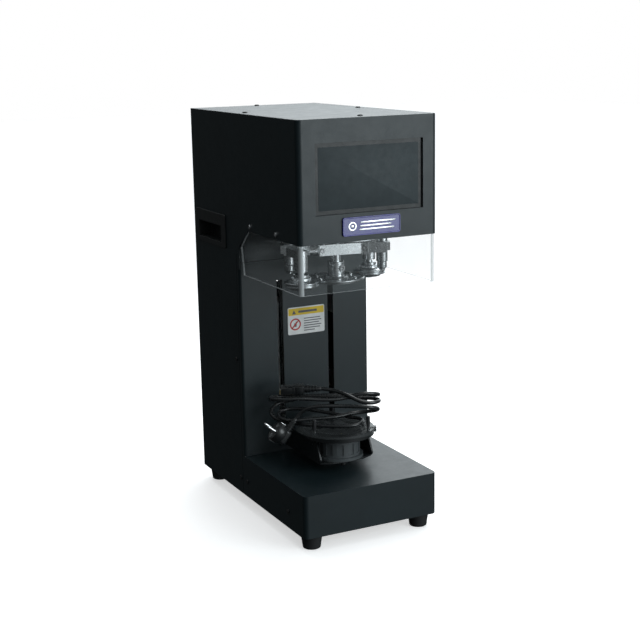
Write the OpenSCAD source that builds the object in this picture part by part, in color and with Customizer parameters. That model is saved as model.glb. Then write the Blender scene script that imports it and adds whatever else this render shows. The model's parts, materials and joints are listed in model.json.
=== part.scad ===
// Desktop can and cup seaming machine.
// Frame: +Z up, the front faces -Y, origin on the resting plane below the
// middle of the cabinet. All lengths are millimetres, angles are degrees.

/* [Cabinet] */
// Width of the cabinet, side skin to side skin
body_w = 260; // [256:1:270]
// Depth of the cabinet, front skin to rear skin
body_d = 457; // [455:1:462]
// Height of the top cover above the floor
body_h = 728; // [726:1:745]
// Thickness of the bent steel skins
skin_t = 2; // [1.5:0.1:2]
// Outside radius of the bent vertical corners
bend_r = 9; // [6:1:12]
// Height of the underside of the head above the floor
head_z = 526.5; // [526.5:0.5:527]
// Height of the top of the base above the floor
base_z = 100.6; // [98:0.1:101]
// Height of the rubber feet
foot_h = 25; // [22:1:25]

/* [Display] */
// Width of the display window
win_w = 201; // [180:1:204]
// Height of the display window
win_h = 116.5; // [100:0.5:118]

/* [Seaming head] */
// Radius of the seaming chuck
chuck_r = 50; // [44:0.5:50]
// Radius of the seaming rollers
roller_r = 29.5; // [26:0.5:29.5]
// Distance between the centres of the spindle and its motor
belt_l = 205; // [200:1:208]

/* [Lift] */
// Radius of the clear can disc
disc_r = 77; // [66:1:80]
// Radius of the circle of locator pins
pin_pcd_r = 56; // [45:0.5:58]
// Height of a locator pin above the can disc
pin_h = 19.5; // [12:0.5:19.5]
// Radius of the two guide rods
rod_r = 8; // [6:0.5:8]

/* [Power lead] */
// Diameter of the power lead
cord_d = 7; // [6:0.5:7]

/* [Hidden] */

hw = body_w/2;            // half width
yf = -body_d/2;           // front skin
yr = body_d/2;            // rear skin
col_y = 19.5;             // front face of the column
seam_y = 31.5;            // rear edge of the column and base wraps
ax_y = -105;              // can and chuck axis
mech_y = 120;             // plane of the lead screw and guide rods
plate_z = 545;            // underside of the structural head plate
plate_top = 555;
win_x = 2;                // middle of the window
win_z = 573;              // lower edge of the window
slot_x = 51.5;            // middle of each column slot
arm_a = -26.6;            // turn of the seaming arms about the can axis
arm_z0 = 488;             // underside of a seaming arm
arm_z1 = 507;             // top of a seaming arm
post_p = [81, -10];       // pivot post in the arm frame: outward, forward
roll_p = [60, -58];       // roller axis in the arm frame
tail_p = [-22, 30];       // cam follower in the arm frame
tray_z = 172;             // underside of the clear disc
disc_t = 5;
hank_z0 = tray_z + disc_t + pin_h + 0.5;
hank_t = 32;

// ---------------------------------------------------------------- helpers
module cyl(r, h, x = 0, y = 0, z = 0) { translate([x, y, z]) cylinder(r = r, h = h, $fn = 64); }
module cyl_x(r, h, x, y, z) { translate([x, y, z]) rotate([0, 90, 0]) cylinder(r = r, h = h, $fn = 32); }
module cyl_y(r, h, x, y, z) { translate([x, y, z]) rotate([-90, 0, 0]) cylinder(r = r, h = h, $fn = 48); }
module box(x0, x1, y0, y1, z0, z1) { translate([x0, y0, z0]) cube([x1 - x0, y1 - y0, z1 - z0]); }
// plan outline with two rounded front corners
module front_round(w, y0, y1, r) {
  translate([-w/2, y0 + r]) square([w, y1 - y0 - r]);
  translate([-w/2 + r, y0]) square([w - 2*r, r + 1]);
  for (s = [-1, 1]) translate([s*(w/2 - r), y0 + r]) circle(r = r, $fn = 64);
}
// bent wrap, open at the rear
module wrap(w, y0, y1, r, t, z0, z1) {
  translate([0, 0, z0]) linear_extrude(height = z1 - z0) difference() {
    front_round(w, y0, y1, r);
    front_round(w - 2*t, y0 + t, y1 + 5, max(r - t, 0.5));
  }
}
// flat rectangle with four round corners, drawn about its middle
module round_rect(w, h, r) {
  square([w - 2*r, h], center = true);
  square([w, h - 2*r], center = true);
  for (i = [-1, 1], j = [-1, 1]) translate([i*(w/2 - r), j*(h/2 - r)]) circle(r = r, $fn = 32);
}
// profile given as [y, z] points, extruded along X from x0 to x1
module side_plate(x0, x1, pts) {
  translate([x0, 0, 0]) rotate([90, 0, 90]) linear_extrude(height = x1 - x0) polygon(pts);
}
// everything about the can axis, x outward and y forward of the arm frame
module arm_frame(turn = 0) {
  translate([0, ax_y, 0]) rotate([0, 0, arm_a + turn]) mirror([0, 1, 0]) children();
}
// straight bar between two points of a plan
module bar(a, b, w, z0, z1) {
  d = b - a; l = norm(d);
  translate([a[0], a[1], z0]) rotate([0, 0, atan2(d[1], d[0])])
    translate([0, -w/2, 0]) cube([l, w, z1 - z0]);
}
// outline round two pulleys whose centres are l apart along +Y
module belt_outline(r1, r2, l) {
  a = asin((r1 - r2)/l);
  circle(r = r1, $fn = 96);
  translate([0, l]) circle(r = r2, $fn = 96);
  polygon([[r1*cos(a), r1*sin(a)], [r2*cos(a), l + r2*sin(a)],
           [-r2*cos(a), l + r2*sin(a)], [-r1*cos(a), r1*sin(a)]]);
}

// ---------------------------------------------------------------- cabinet
side_screw = [[-34.5, 535], [-141.5, 535]];
low_screw = [[40, 55.5], [43.5, 282]];
base_screw = [[11.4, 55], [-163, 55]];

module outer_shell() color("#3a4144") difference() {
  union() {
    wrap(body_w, yf, yr, bend_r, skin_t, head_z, body_h);
    for (s = [-1, 1]) {
      side_plate(s > 0 ? hw - skin_t : -hw, s > 0 ? hw : -hw + skin_t,
        [[seam_y + 1, foot_h], [yr, foot_h], [yr, head_z + 1], [-25, head_z + 1], [-25, head_z],
         [7.5, 501], [15, 495], [18.5, 489], [18.5, 452], [seam_y + 1, 452]]);
      // rear return flange that takes the rear cover
      box(s > 0 ? hw - 14 : -hw + 1, s > 0 ? hw - 1 : -hw + 14, yr - 4, yr - 2, foot_h + 5, body_h - 16);
    }
  }
  // display window
  box(win_x - win_w/2, win_x + win_w/2, yf - 5, yf + 8, win_z, win_z + win_h);
  // relief slit above the column wrap
  box(-hw - 5, hw + 5, seam_y - 2, seam_y - 0.5, 440, 479);
  // handle cut-outs
  box(-hw - 5, hw + 5, 79, 210, 486.5, 538.5);
  for (p = side_screw) cyl_x(2.3, body_w + 20, -hw - 10, p[0], p[1]);
  for (p = low_screw) cyl_x(2.3, body_w + 20, -hw - 10, p[0], p[1]);
  for (s = [-1, 1], z = [60, 260, 480, 690]) cyl_y(2.3, 10, s*121, yr - 8, z);
}

top_screw = [[-112, 14], [112, 14], [0, -200], [0, 214]];
module top_cover() color("#4a5154") difference() {
  union() {
    translate([0, 0, body_h - 2]) linear_extrude(height = 2) front_round(body_w - 5.6, yf + 2.8, yr, bend_r - 2.8);
    for (s = [-1, 1]) box(s > 0 ? hw - 4.8 : -hw + 2.8, s > 0 ? hw - 2.8 : -hw + 4.8, yf + 12, yr - 5, body_h - 14, body_h - 1);
    box(-hw + 12, hw - 12, yf + 2.8, yf + 4.8, body_h - 14, body_h - 1);
  }
  for (p = top_screw) cyl(2.3, 10, p[0], p[1], body_h - 6);
}

fan_p = [0, 640];
inlet_p = [-62, 92];
switch_p = [-14, 92];
module rear_cover() color("#3a4144") difference() {
  box(-hw + 2.8, hw - 2.8, yr - 2, yr, foot_h + 3, body_h - 2.6);
  // fan grille: four rings of slots
  for (k = [0 : 3]) translate([fan_p[0], yr - 5, fan_p[1]]) rotate([-90, 0, 0]) linear_extrude(height = 8)
    difference() {
      circle(r = 15 + k*6.2, $fn = 64); circle(r = 12 + k*6.2, $fn = 64);
      for (a = [45, 135]) rotate(a) square([100, 4], center = true);
    }
  // louvre slots
  for (i = [-1, 1], k = [0 : 7]) box(i*52 - 30, i*52 + 30, yr - 5, yr + 3, 380 + k*12, 384 + k*12);
  // inlet and switch cut-outs
  box(inlet_p[0] - 14, inlet_p[0] + 14, yr - 5, yr + 3, inlet_p[1] - 10.5, inlet_p[1] + 10.5);
  box(switch_p[0] - 10, switch_p[0] + 10, yr - 5, yr + 3, switch_p[1] - 7, switch_p[1] + 7);
  for (s = [-1, 1]) {
    cyl_y(1.8, 20, inlet_p[0] + s*20, yr - 10, inlet_p[1]);
    for (z = [60, 260, 480, 690]) cyl_y(2.3, 20, s*121, yr - 10, z);
  }
}

module column_cover() color("#454c4f") difference() {
  union() {
    wrap(body_w, col_y, seam_y, 5, skin_t, base_z + 0.4, 451.5);
    box(-hw + 3, hw - 3, col_y, col_y + skin_t, 451, 463);
  }
  for (s = [-1, 1]) {
    box(s*slot_x - 5.75, s*slot_x + 5.75, col_y - 5, col_y + 5, 112, 425);
  }
}

module throat_plate() color("#4a5154")
  box(-hw + 3, hw - 3, col_y, col_y + skin_t, 463.6, head_z + skin_t);

module base_cover() color("#4a5154") difference() {
  union() {
    wrap(body_w, yf, seam_y, bend_r, skin_t, foot_h, base_z - 1);
    translate([0, 0, base_z - skin_t]) linear_extrude(height = skin_t) front_round(body_w, yf, col_y + 1.6, bend_r);
    for (s = [-1, 1]) box(s > 0 ? hw - skin_t : -hw, s > 0 ? hw : -hw + skin_t, col_y, seam_y, base_z - 4, base_z);
  }
  for (p = base_screw) cyl_x(2.3, body_w + 20, -hw - 10, p[0], p[1]);
}

foot_p = [[-106, -204], [106, -204], [-106, 204], [106, 204]];
module bottom_plate() color("#3a4144") difference() {
  translate([0, 0, foot_h]) linear_extrude(height = 2) front_round(body_w - 4.8, yf + 2.4, yr - 4.4, bend_r - 2.4);
  for (p = foot_p) cyl(3.2, 10, p[0], p[1], foot_h - 4);
  for (x = [-70, -50, 50, 70], y = [-150 : 30 : -30]) box(x - 4, x + 4, y - 10, y + 10, foot_h - 2, foot_h + 4);
}

// two upright side frames that carry the head plate
module frame_sides() color("#8a9094") for (s = [-1, 1]) difference() {
  union() {
    box(s*94.5 - 2.5, s*94.5 + 2.5, 60, 200, foot_h + 2, plate_z);
    box(min(s*92, s*74), max(s*92, s*74), 60, 64, foot_h + 2, 60);
    box(min(s*92, s*74), max(s*92, s*74), 150, 182, foot_h + 2, foot_h + 6);
  }
  for (z = [70, 220, 370]) box(s*94.5 - 10, s*94.5 + 10, 85, 175, z, z + 115);
}

// sheet floor of the head with the round turret opening
module head_floor() color("#4a5154") difference() {
  translate([0, 0, head_z]) linear_extrude(height = skin_t) front_round(body_w - 13, yf + 7, col_y - 0.2, 4);
  cyl(108, 20, 0, ax_y, head_z - 5);
}
// thick plate with the bridge that holds the chuck shaft
module head_plate() color("#9aa0a4") difference() {
  union() {
    box(-hw + 5, hw - 5, yf + 14, yr - 6, plate_z, plate_top);
    for (s = [-1, 1]) box(s*65 - 4, s*65 + 4, ax_y - 12, ax_y + 12, plate_top - 1, 700);
    box(-69, 69, ax_y - 12, ax_y + 12, 690, 700);
  }
  cyl(41, 40, 0, ax_y, plate_z - 10);
  cyl(9.05, 40, 0, ax_y, 680);
  cyl(8.05, 40, 0, mech_y, plate_z - 10);
  for (s = [-1, 1]) box(s*100 - 15, s*100 + 15, -60, -30, plate_z - 5, plate_top + 5);
}

module feet() color("#17191a") for (p = foot_p) difference() {
  translate([p[0], p[1], 0]) rotate_extrude($fn = 48)
    polygon([[0, 0], [14.5, 0], [15.5, 1], [18.5, foot_h - 3], [18.5, foot_h], [0, foot_h]]);
  cyl(7, 6, p[0], p[1], -1);
}

// recessed carrying handle, drawn for the left side
module handle() color("#1b1d1f") difference() {
  union() {
    translate([-hw, 144.5, 512.5]) rotate([90, 0, -90]) linear_extrude(height = 2) round_rect(140, 61, 4);
    box(-hw, -104, 80, 209, 487.5, 537.5);
  }
  box(-hw - 5, -116, 95.5, 201.5, 491, 521);
  box(-120, -106.5, 95.5, 201.5, 491, 535);
  // finger relief behind the top band
  translate([-120, 95.5, 521]) rotate([-90, 0, 0]) cylinder(r = 7, h = 106, $fn = 48);
}
module handle_left() handle();
module handle_right() mirror([1, 0, 0]) handle();

module acrylic_guard() color("#dfe6e8", 0.35) difference() {
  intersection() {
    wrap(body_w - 4.6, yf + 2.4, 60, 6.7, 3.2, 443.5, 545);
    side_plate(-hw, hw, [[-300, 443.5], [4.5, 443.5], [13.5, 493], [-16, 521], [-16, 546], [-300, 546]]);
  }
  for (p = side_screw) cyl_x(2.3, body_w + 20, -hw - 10, p[0], p[1]);
}

// pan head screw along -X, head on the outside of the left skin
module side_head(p, l) {
  translate([-hw, p[0], p[1]]) rotate([0, -90, 0]) difference() {
    union() {
      cylinder(r = 4.1, h = 1.4, $fn = 32);
      translate([0, 0, 1.4]) cylinder(r = 3.2, h = 0.7, $fn = 32);
      translate([0, 0, -l]) cylinder(r = 2, h = l + 0.5, $fn = 24);
    }
    for (a = [0, 90]) rotate(a) translate([-2, -0.4, 1]) cube([4, 0.8, 2]);
  }
}
module silver_screws() color("#d9dcde") for (s = [0, 1]) mirror([s, 0, 0]) {
  for (p = side_screw) side_head(p, 9);
  for (p = low_screw) side_head(p, 6);
  for (p = base_screw) side_head(p, 6);
}

module button_head(l) difference() {
  union() {
    cylinder(r = 4.6, h = 1.2, $fn = 32);
    translate([0, 0, 1.2]) cylinder(r = 3.6, h = 0.9, $fn = 32);
    translate([0, 0, -l]) cylinder(r = 2, h = l + 0.5, $fn = 24);
  }
  translate([0, 0, 0.9]) cylinder(r = 1.5, h = 3, $fn = 6);
}
module black_screws() color("#202325") {
  for (p = top_screw) translate([p[0], p[1], body_h]) button_head(9);
  for (s = [-1, 1], z = [60, 260, 480, 690]) translate([s*121, yr, z]) rotate([-90, 0, 0]) button_head(3.5);
}

// ---------------------------------------------------------------- electrics
module display_housing() color("#101214") difference() {
  box(win_x - 111, win_x + 111, yf + 2, yf + 22, win_z - 10, win_z + win_h + 10);
  box(win_x - win_w/2 - 0.3, win_x + win_w/2 + 0.3, yf - 5, yf + 8, win_z - 0.3, win_z + win_h + 0.3);
  box(win_x - 106, win_x + 106, yf + 12, yf + 40, win_z - 6, win_z + win_h + 6);
}
module display_glass() color("#20282c")
  box(win_x - win_w/2 + 0.1, win_x + win_w/2 - 0.1, yf + 4, yf + 8, win_z + 0.1, win_z + win_h - 0.1);

module badge_plate() color("#2a2f86") translate([win_x + 1, yf, 551.5]) rotate([90, 0, 0]) union() {
  linear_extrude(height = 2.2) round_rect(108, 31, 4);
  linear_extrude(height = 3) difference() { round_rect(108, 31, 4); round_rect(104.4, 27.4, 2.6); }
}
module info_label() color("#f2f2ee") translate([1, col_y, 345]) rotate([90, 0, 0])
  linear_extrude(height = 0.6) round_rect(75, 51, 3);

module power_inlet() color("#141617") difference() {
  union() {
    translate([inlet_p[0], yr + 3, inlet_p[1]]) rotate([90, 0, 0]) linear_extrude(height = 3) round_rect(50, 24, 5);
    box(inlet_p[0] - 13.6, inlet_p[0] + 13.6, yr - 26, yr + 1, inlet_p[1] - 10, inlet_p[1] + 10);
  }
  difference() {
    box(inlet_p[0] - 12, inlet_p[0] + 12, yr - 16, yr + 5, inlet_p[1] - 8, inlet_p[1] + 8);
    for (p = [[-7, 0], [7, 0], [0, 3]]) box(inlet_p[0] + p[0] - 1, inlet_p[0] + p[0] + 1, yr - 17, yr - 2, inlet_p[1] + p[1] - 2, inlet_p[1] + p[1] + 2);
  }
  for (s = [-1, 1]) cyl_y(1.8, 10, inlet_p[0] + s*20, yr - 5, inlet_p[1]);
}
module switch_housing() color("#141617") difference() {
  union() {
    box(switch_p[0] - 12, switch_p[0] + 12, yr, yr + 2, switch_p[1] - 9, switch_p[1] + 9);
    box(switch_p[0] - 9.6, switch_p[0] + 9.6, yr - 22, yr + 1, switch_p[1] - 6.6, switch_p[1] + 6.6);
  }
  box(switch_p[0] - 8, switch_p[0] + 8, yr - 14, yr + 5, switch_p[1] - 5.2, switch_p[1] + 5.2);
  cyl(1.05, 12.9, switch_p[0], yr - 5, switch_p[1] - 6.45);
}
module power_rocker() color("#1c1e20") translate([switch_p[0], yr - 5, switch_p[1]]) rotate([0, 0, 9]) union() {
  translate([0, 0, -4.6]) linear_extrude(height = 9.2) polygon([[-7, 0], [-6.6, 5.6], [0, 4.4], [6.6, 5.6], [7, 0], [3, -3], [-3, -3]]);
  // pivot pins in the two housing walls
  cylinder(r = 1, h = 12.6, center = true, $fn = 24);
}

module fan_frame() color("#15181a") difference() {
  union() {
    difference() {
      box(fan_p[0] - 40, fan_p[0] + 40, yr - 27, yr - 2, fan_p[1] - 40, fan_p[1] + 40);
      cyl_y(38, 40, fan_p[0], yr - 35, fan_p[1]);
    }
    intersection() {
      box(fan_p[0] - 40, fan_p[0] + 40, yr - 27, yr - 24, fan_p[1] - 40, fan_p[1] + 40);
      union() {
        cyl_y(15, 8, fan_p[0], yr - 28, fan_p[1]);
        for (a = [20, 110, 200, 290]) translate([fan_p[0], yr - 28, fan_p[1]]) rotate([0, a, 0]) translate([0, 0, -2.5]) cube([39, 8, 5]);
      }
    }
    cyl_y(2, 16, fan_p[0], yr - 25, fan_p[1]);
  }
  for (i = [-1, 1], j = [-1, 1]) cyl_y(2.2, 50, fan_p[0] + i*35.5, yr - 40, fan_p[1] + j*35.5);
}
module fan_rotor() color("#1e2224") difference() {
  union() {
    cyl_y(17, 16, fan_p[0], yr - 21, fan_p[1]);
    for (k = [0 : 6]) translate([fan_p[0], yr - 13, fan_p[1]]) rotate([0, k*360/7, 0]) translate([10, 0, 0]) rotate([32, 0, 0])
      translate([0, -8, -0.9]) cube([25.5, 16, 1.8]);
  }
  cyl_y(2.05, 15, fan_p[0], yr - 22, fan_p[1]);
}

module control_board() color("#1f5c3a") {
  difference() {
    union() {
      box(win_x - 85, win_x + 85, yf + 34, yf + 35.6, 580, 685);
      for (i = [-1, 1], j = [-1, 1]) cyl_y(3, 11, win_x + i*78, yf + 23.5, 632.5 + j*46);
      box(-40, -10, yf + 35, yf + 45, 600, 630);
      box(10, 50, yf + 35, yf + 40, 640, 670);
      box(30, 60, yf + 35, yf + 52, 595, 612);
    }
    box(win_x - 60, win_x + 60, yf + 20, yf + 34, 590, 600);
  }
  for (i = [-1, 1], j = [-1, 1]) box(win_x + i*78 + (i > 0 ? -4 : -32), win_x + i*78 + (i > 0 ? 32 : 4), yf + 22, yf + 23.5, 632.5 + j*46 - 4, 632.5 + j*46 + 4);
}
module power_supply() color("#b9bec2") difference() {
  union() {
    box(-55, 55, yr - 44, yr - 2, 150, 350);
    box(-50, 50, yr - 50, yr - 43, 154, 170);
  }
  box(-53.5, 53.5, yr - 42, yr - 3.5, 172, 360);
}

// ---------------------------------------------------------------- turret drive
drive_z = 630;            // underside of the turret pulley
module turret_motor() color("#2b3033") difference() {
  union() {
    box(-45, 45, ax_y + belt_l - 45, ax_y + belt_l + 45, plate_top, plate_top + 6);
    cyl(42, 60, 0, ax_y + belt_l, plate_top);
    cyl(20, 65, 0, ax_y + belt_l, plate_top);
  }
  cyl(7.05, 40, 0, ax_y + belt_l, plate_top + 35);
}
module pulley(r, z) {
  cyl(r + 3, 2, 0, 0, z); cyl(r, 20, 0, 0, z + 1); cyl(r + 3, 2, 0, 0, z + 20);
}
module motor_pulley() color("#b4b9bd") translate([0, ax_y + belt_l, 0]) union() {
  cyl(7, 90, 0, 0, plate_top + 38);
  pulley(22, drive_z); pulley(22, drive_z + 24);
}
module drive_belts() color("#15171a") for (k = [0, 1]) translate([0, ax_y, drive_z + 3 + 24*k]) linear_extrude(height = 16) difference() {
  belt_outline(48, 24.4, belt_l);
  belt_outline(45.4, 22.4, belt_l);
}
module turret_pulley() color("#b4b9bd") translate([0, ax_y, 0]) difference() {
  pulley(45, drive_z);
  cyl(20.02, 50, 0, 0, drive_z - 5);
}
module cam_pulley() color("#b4b9bd") translate([0, ax_y, 0]) difference() {
  pulley(45, drive_z + 24);
  cyl(13.52, 50, 0, 0, drive_z + 20);
}
module spindle_housing() color("#a3a9ad") translate([0, ax_y, 0]) difference() {
  union() { cyl(40, 85, 0, 0, 539); cyl(56, 8, 0, 0, plate_top); }
  cyl(26, 120, 0, 0, 530);
  cyl(30.05, 18, 0, 0, 538);
  cyl(30.05, 20, 0, 0, 606);
}
module spindle_bearings() color("#c9cdd0") translate([0, ax_y, 0]) for (z = [540, 607]) difference() {
  cyl(30, 16, 0, 0, z);
  cyl(20.05, 20, 0, 0, z - 2);
  difference() { cyl(27, 3, 0, 0, z - 2); cyl(23, 6, 0, 0, z - 3); }
}
// turret disc with its hollow shaft
module turret() color("#a3a9ad") translate([0, ax_y, 0]) difference() {
  union() {
    cyl(106.5, 12, 0, 0, 522);
    cyl(34, 4, 0, 0, 533);
    cyl(20, 118, 0, 0, 534);
  }
  cyl(13.55, 200, 0, 0, 500);
}
module chuck_shaft() color("#c9cdd0") translate([0, ax_y, 0]) cyl(9, 706 - 452, 0, 0, 452);

chuck_z = 442.5;
module seaming_chuck() color("#b9bec2") translate([0, ax_y, 0]) difference() {
  rotate_extrude($fn = 96) polygon([[0, chuck_z - 3], [chuck_r - 6.5, chuck_z - 3], [chuck_r - 6, chuck_z],
    [chuck_r - 1, chuck_z], [chuck_r, chuck_z + 1], [chuck_r, chuck_z + 3.2], [chuck_r - 0.8, chuck_z + 4],
    [chuck_r - 5, chuck_z + 4], [chuck_r - 7, chuck_z + 2.5], [22, chuck_z + 2.5], [20, chuck_z + 6.5],
    [14.5, chuck_z + 6.5], [14.5, 473], [13.5, 474], [0, 474]]);
  cyl(9.05, 40, 0, 0, 452);
}

// ---------------------------------------------------------------- seaming arms
module arm() color("#b4b9bd") difference() {
  union() {
    // tapered lever bar towards the cam
    difference() {
      bar([50, 7.5], [-29, 32.4], 10, arm_z0, arm_z1);
      translate([0, 0, arm_z0 - 3]) rotate([0, 0, -17.5]) translate([-45, 0, 0]) rotate([0, 3, 0]) cube([60, 60, 3]);
    }
    // lower ledge of the bar
    bar([48, 4], [-20, 25.5], 5, arm_z0, arm_z0 + 5);
    // split clamp
    box(44.5, 56.5, -8, 15, arm_z0 - 2, arm_z1 + 3);
    // block round the pivot post
    box(56, 89.5, -24, 8, arm_z0, arm_z1 - 0.5);
    box(89, 95, -19, 3, arm_z0 + 3, arm_z1 - 2);
    // leg to the roller with its boss
    bar([78, -18], roll_p, 18, arm_z0, arm_z1 - 5);
    cyl(11.5, arm_z1 - 5 - 466, roll_p[0], roll_p[1], 466);
    // roller axle
    cyl(6, 40, roll_p[0], roll_p[1], 438);
    // cam follower
    cyl(4, 519.5 - arm_z1 + 3, tail_p[0], tail_p[1], arm_z1 - 3);
  }
  cyl(10.05, 60, post_p[0], post_p[1], arm_z0 - 20);
  // clamp slots
  box(47, 48.6, 8, 20, arm_z0 - 5, arm_z1 + 6);
  box(52.6, 54.2, 8, 20, arm_z0 - 5, arm_z1 + 6);
}
module right_arm() arm_frame(0) arm();
module left_arm() arm_frame(180) arm();

module pivot_posts() color("#b4b9bd") for (t = [0, 180]) arm_frame(t) translate([post_p[0], post_p[1], 0]) {
  rotate_extrude($fn = 48) polygon([[0, 457], [6, 457], [8.6, 459.5], [8.6, 468.5], [7.5, 470], [10, 470.5], [10, 522], [0, 522]]);
}

module roller() color("#c3c8cb") translate([roll_p[0], roll_p[1], 0]) difference() {
  rotate_extrude($fn = 96) polygon([[0, 435.5], [15, 435.5], [20, 436.5], [22, 440.5], [roller_r - 1, 441], [roller_r, 442],
    [roller_r, 443], [roller_r - 1.6, 443.8], [roller_r - 1.6, 445.4], [roller_r, 446.4], [roller_r, 448.5], [roller_r - 1, 449.5],
    [17, 451.5], [15.5, 456], [13, 456.5], [13, 461], [10, 462], [0, 462]]);
  cyl(6.05, 40, 0, 0, 437.5);
}
module right_roller() arm_frame(0) roller();
module left_roller() arm_frame(180) roller();

// closing cam: two opposite rises, on a sleeve that runs up inside the turret shaft
function cam_m(b) = b - 180*floor(b/180);
function cam_radius(b) = let (m = cam_m(b), u = m >= 130 ? m - 180 : m)
  u > 27 ? 31.8 : u >= -20 ? 31.8 + 4.8*(27 - u)/47 : u >= -48 ? 36.6 - 4.8*(-20 - u)/28 : 31.8;
module seaming_cam() color("#9aa0a4") translate([0, ax_y, 0]) difference() {
  union() {
    translate([0, 0, 510]) linear_extrude(height = 9) polygon([for (a = [0 : 3 : 357]) [cam_radius(a)*cos(a), cam_radius(a)*sin(a)]]);
    cyl(13.5, 678 - 515, 0, 0, 515);
  }
  cyl(9.05, 200, 0, 0, 500);
}

// ---------------------------------------------------------------- lift
module lift_motor() color("#2b3033") difference() {
  union() {
    box(-28.5, 28.5, mech_y - 28.5, mech_y + 28.5, foot_h + 2, 75);
    cyl(19, 2, 0, mech_y, 75);
  }
  cyl(5.05, 30, 0, mech_y, 60);
}
module lead_screw() color("#c9cdd0") translate([0, mech_y, 0]) union() {
  cyl(5, 30, 0, 0, 62);
  cyl(12, 26, 0, 0, 80);
  cyl(8, 447, 0, 0, 105);
}
module guide_rods() color("#d9dcde") for (s = [-1, 1]) cyl(rod_r, plate_z - foot_h - 2, s*64, mech_y, foot_h + 2);
module lift_carriage() color("#9aa0a4") difference() {
  box(-84, 84, 98, 142, 122, 172);
  for (s = [-1, 1]) cyl(14.05, 60, s*64, mech_y, 118);
  cyl(14.05, 60, 0, mech_y, 118);
}
module lead_nut() color("#b08d4a") difference() {
  union() { cyl(14, 50, 0, mech_y, 122); cyl(22, 8, 0, mech_y, 172); }
  cyl(8.05, 80, 0, mech_y, 110);
}
module linear_bearings() color("#c9cdd0") for (s = [-1, 1]) difference() {
  cyl(14, 50, s*64, mech_y, 122);
  cyl(rod_r + 0.05, 60, s*64, mech_y, 118);
}
// bent fork that reaches through the two column slots and carries the tray
module lift_fork() color("#25292b") union() {
  for (s = [-1, 1]) {
    side_plate(s*slot_x - 1.5, s*slot_x + 1.5, concat([[98, 117], [98, 155], [-114, 155], [-120, 153.4], [-124, 150]],
      [for (a = [180 : 15 : 270]) [-127 + 10*cos(a), 127 + 10*sin(a)]]));
    box(min(s*51, s*78), max(s*51, s*78), 95, 98, 124, 155);
  }
  difference() {
    translate([0, 0, 117]) linear_extrude(height = 3)
      polygon([[-slot_x, -132], [-28, -142], [28, -142], [slot_x, -132], [slot_x, 10], [-slot_x, 10]]);
    cyl(12, 10, 0, ax_y + 45, 112);
  }
}
module bump_stop() color("#17191a") translate([-4, -130, 0]) rotate_extrude($fn = 32)
  polygon([[0, 108.5], [3, 108.5], [4.6, 110], [4.6, 117], [0, 117]]);

// can cushion: spring between the fork and the tray plate, inside the drum
module cushion_spring() color("#b9bec2") translate([0, ax_y, 0]) difference() {
  cyl(18, 27, 0, 0, 130); cyl(14, 40, 0, 0, 125);
}
module tray_drum() color("#7d8487") translate([0, ax_y, 0]) difference() {
  union() { cyl(44, 5, 0, 0, 120); cyl(38.5, 36, 0, 0, 120); }
  cyl(30, 40, 0, 0, 130);
  for (a = [0 : 30 : 330]) rotate([0, 0, a + 7]) translate([36.5, -6, 129]) cube([10, 12, 20]);
}
module tray_plate() color("#25292b") translate([0, ax_y, 0]) difference() {
  union() {
    translate([0, 0, 161]) cylinder(r = 64, h = 11, $fn = 96);
    translate([0, 0, 157]) cylinder(r = 24, h = 5, $fn = 96);
    for (a = [-26.6, 153.4]) rotate([0, 0, a]) translate([50, -5, 163]) cube([18, 10, 9]);
  }
  translate([0, 0, 169]) difference() { cylinder(r = 47, h = 5, $fn = 96); translate([0, 0, -1]) cylinder(r = 43, h = 8, $fn = 96); }
  for (k = [0 : 2]) rotate([0, 0, -46.3 + 120*k]) translate([pin_pcd_r, 0, 164]) cylinder(r = 2.55, h = 20, $fn = 32);
}
module tray_disc() color("#dfe6e8", 0.35) translate([0, ax_y, tray_z]) difference() {
  cylinder(r = disc_r, h = disc_t, $fn = 96);
  for (k = [0 : 2]) rotate([0, 0, -46.3 + 120*k]) translate([pin_pcd_r, 0, -1]) cylinder(r = 2.55, h = 20, $fn = 32);
}
module locator_pins() color("#1c1f21") translate([0, ax_y, 0]) for (k = [0 : 2]) rotate([0, 0, -46.3 + 120*k]) translate([pin_pcd_r, 0, 0]) {
  translate([0, 0, 164]) cylinder(r = 2.5, h = tray_z + disc_t - 163, $fn = 32);
  translate([0, 0, tray_z + disc_t]) rotate_extrude($fn = 32) polygon([[0, 0], [3.5, 0], [3.5, pin_h - 1], [2.5, pin_h], [0, pin_h]]);
}

// ---------------------------------------------------------------- power lead
hank_c = [-22, -25];  // middle of the hank in the arm frame
module lead_hank() color("#111315") arm_frame(0) translate([hank_c[0], hank_c[1], hank_z0]) linear_extrude(height = hank_t) {
  square([112, 70], center = true);
  for (s = [-1, 1]) translate([s*56, 0]) circle(r = 35, $fn = 64);
}
conn_z = hank_z0 + hank_t;
module lead_connector() color("#141617") arm_frame(0) translate([-5, -22, conn_z]) union() {
  box(-97, -75, -10.5, 10.5, 1, 15);
  box(-76, -56, -11.5, 11.5, 0, 17);
  translate([-57, 0, 8.5]) rotate([0, 90, 0]) cylinder(r1 = 8, r2 = 4.5, h = 32, $fn = 32);
}
// angled two pin plug with side contacts, hanging beside the tray
plug_c = [-101.2, -81, 166];
module lead_plug() color("#141617") translate(plug_c) rotate([0, 0, 172]) rotate([0, -38, 0]) union() {
  rotate([0, 90, 0]) cylinder(r = 18.5, h = 17, $fn = 48);
  for (s = [-1, 1]) translate([16, s*9.5, 0]) rotate([0, 90, 0]) cylinder(r = 2.4, h = 20, $fn = 24);
  translate([-12, -12, -12]) cube([14, 24, 26]);
  translate([-5, 0, 12]) cylinder(r1 = 7.5, r2 = 4.2, h = 26, $fn = 32);
}
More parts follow.
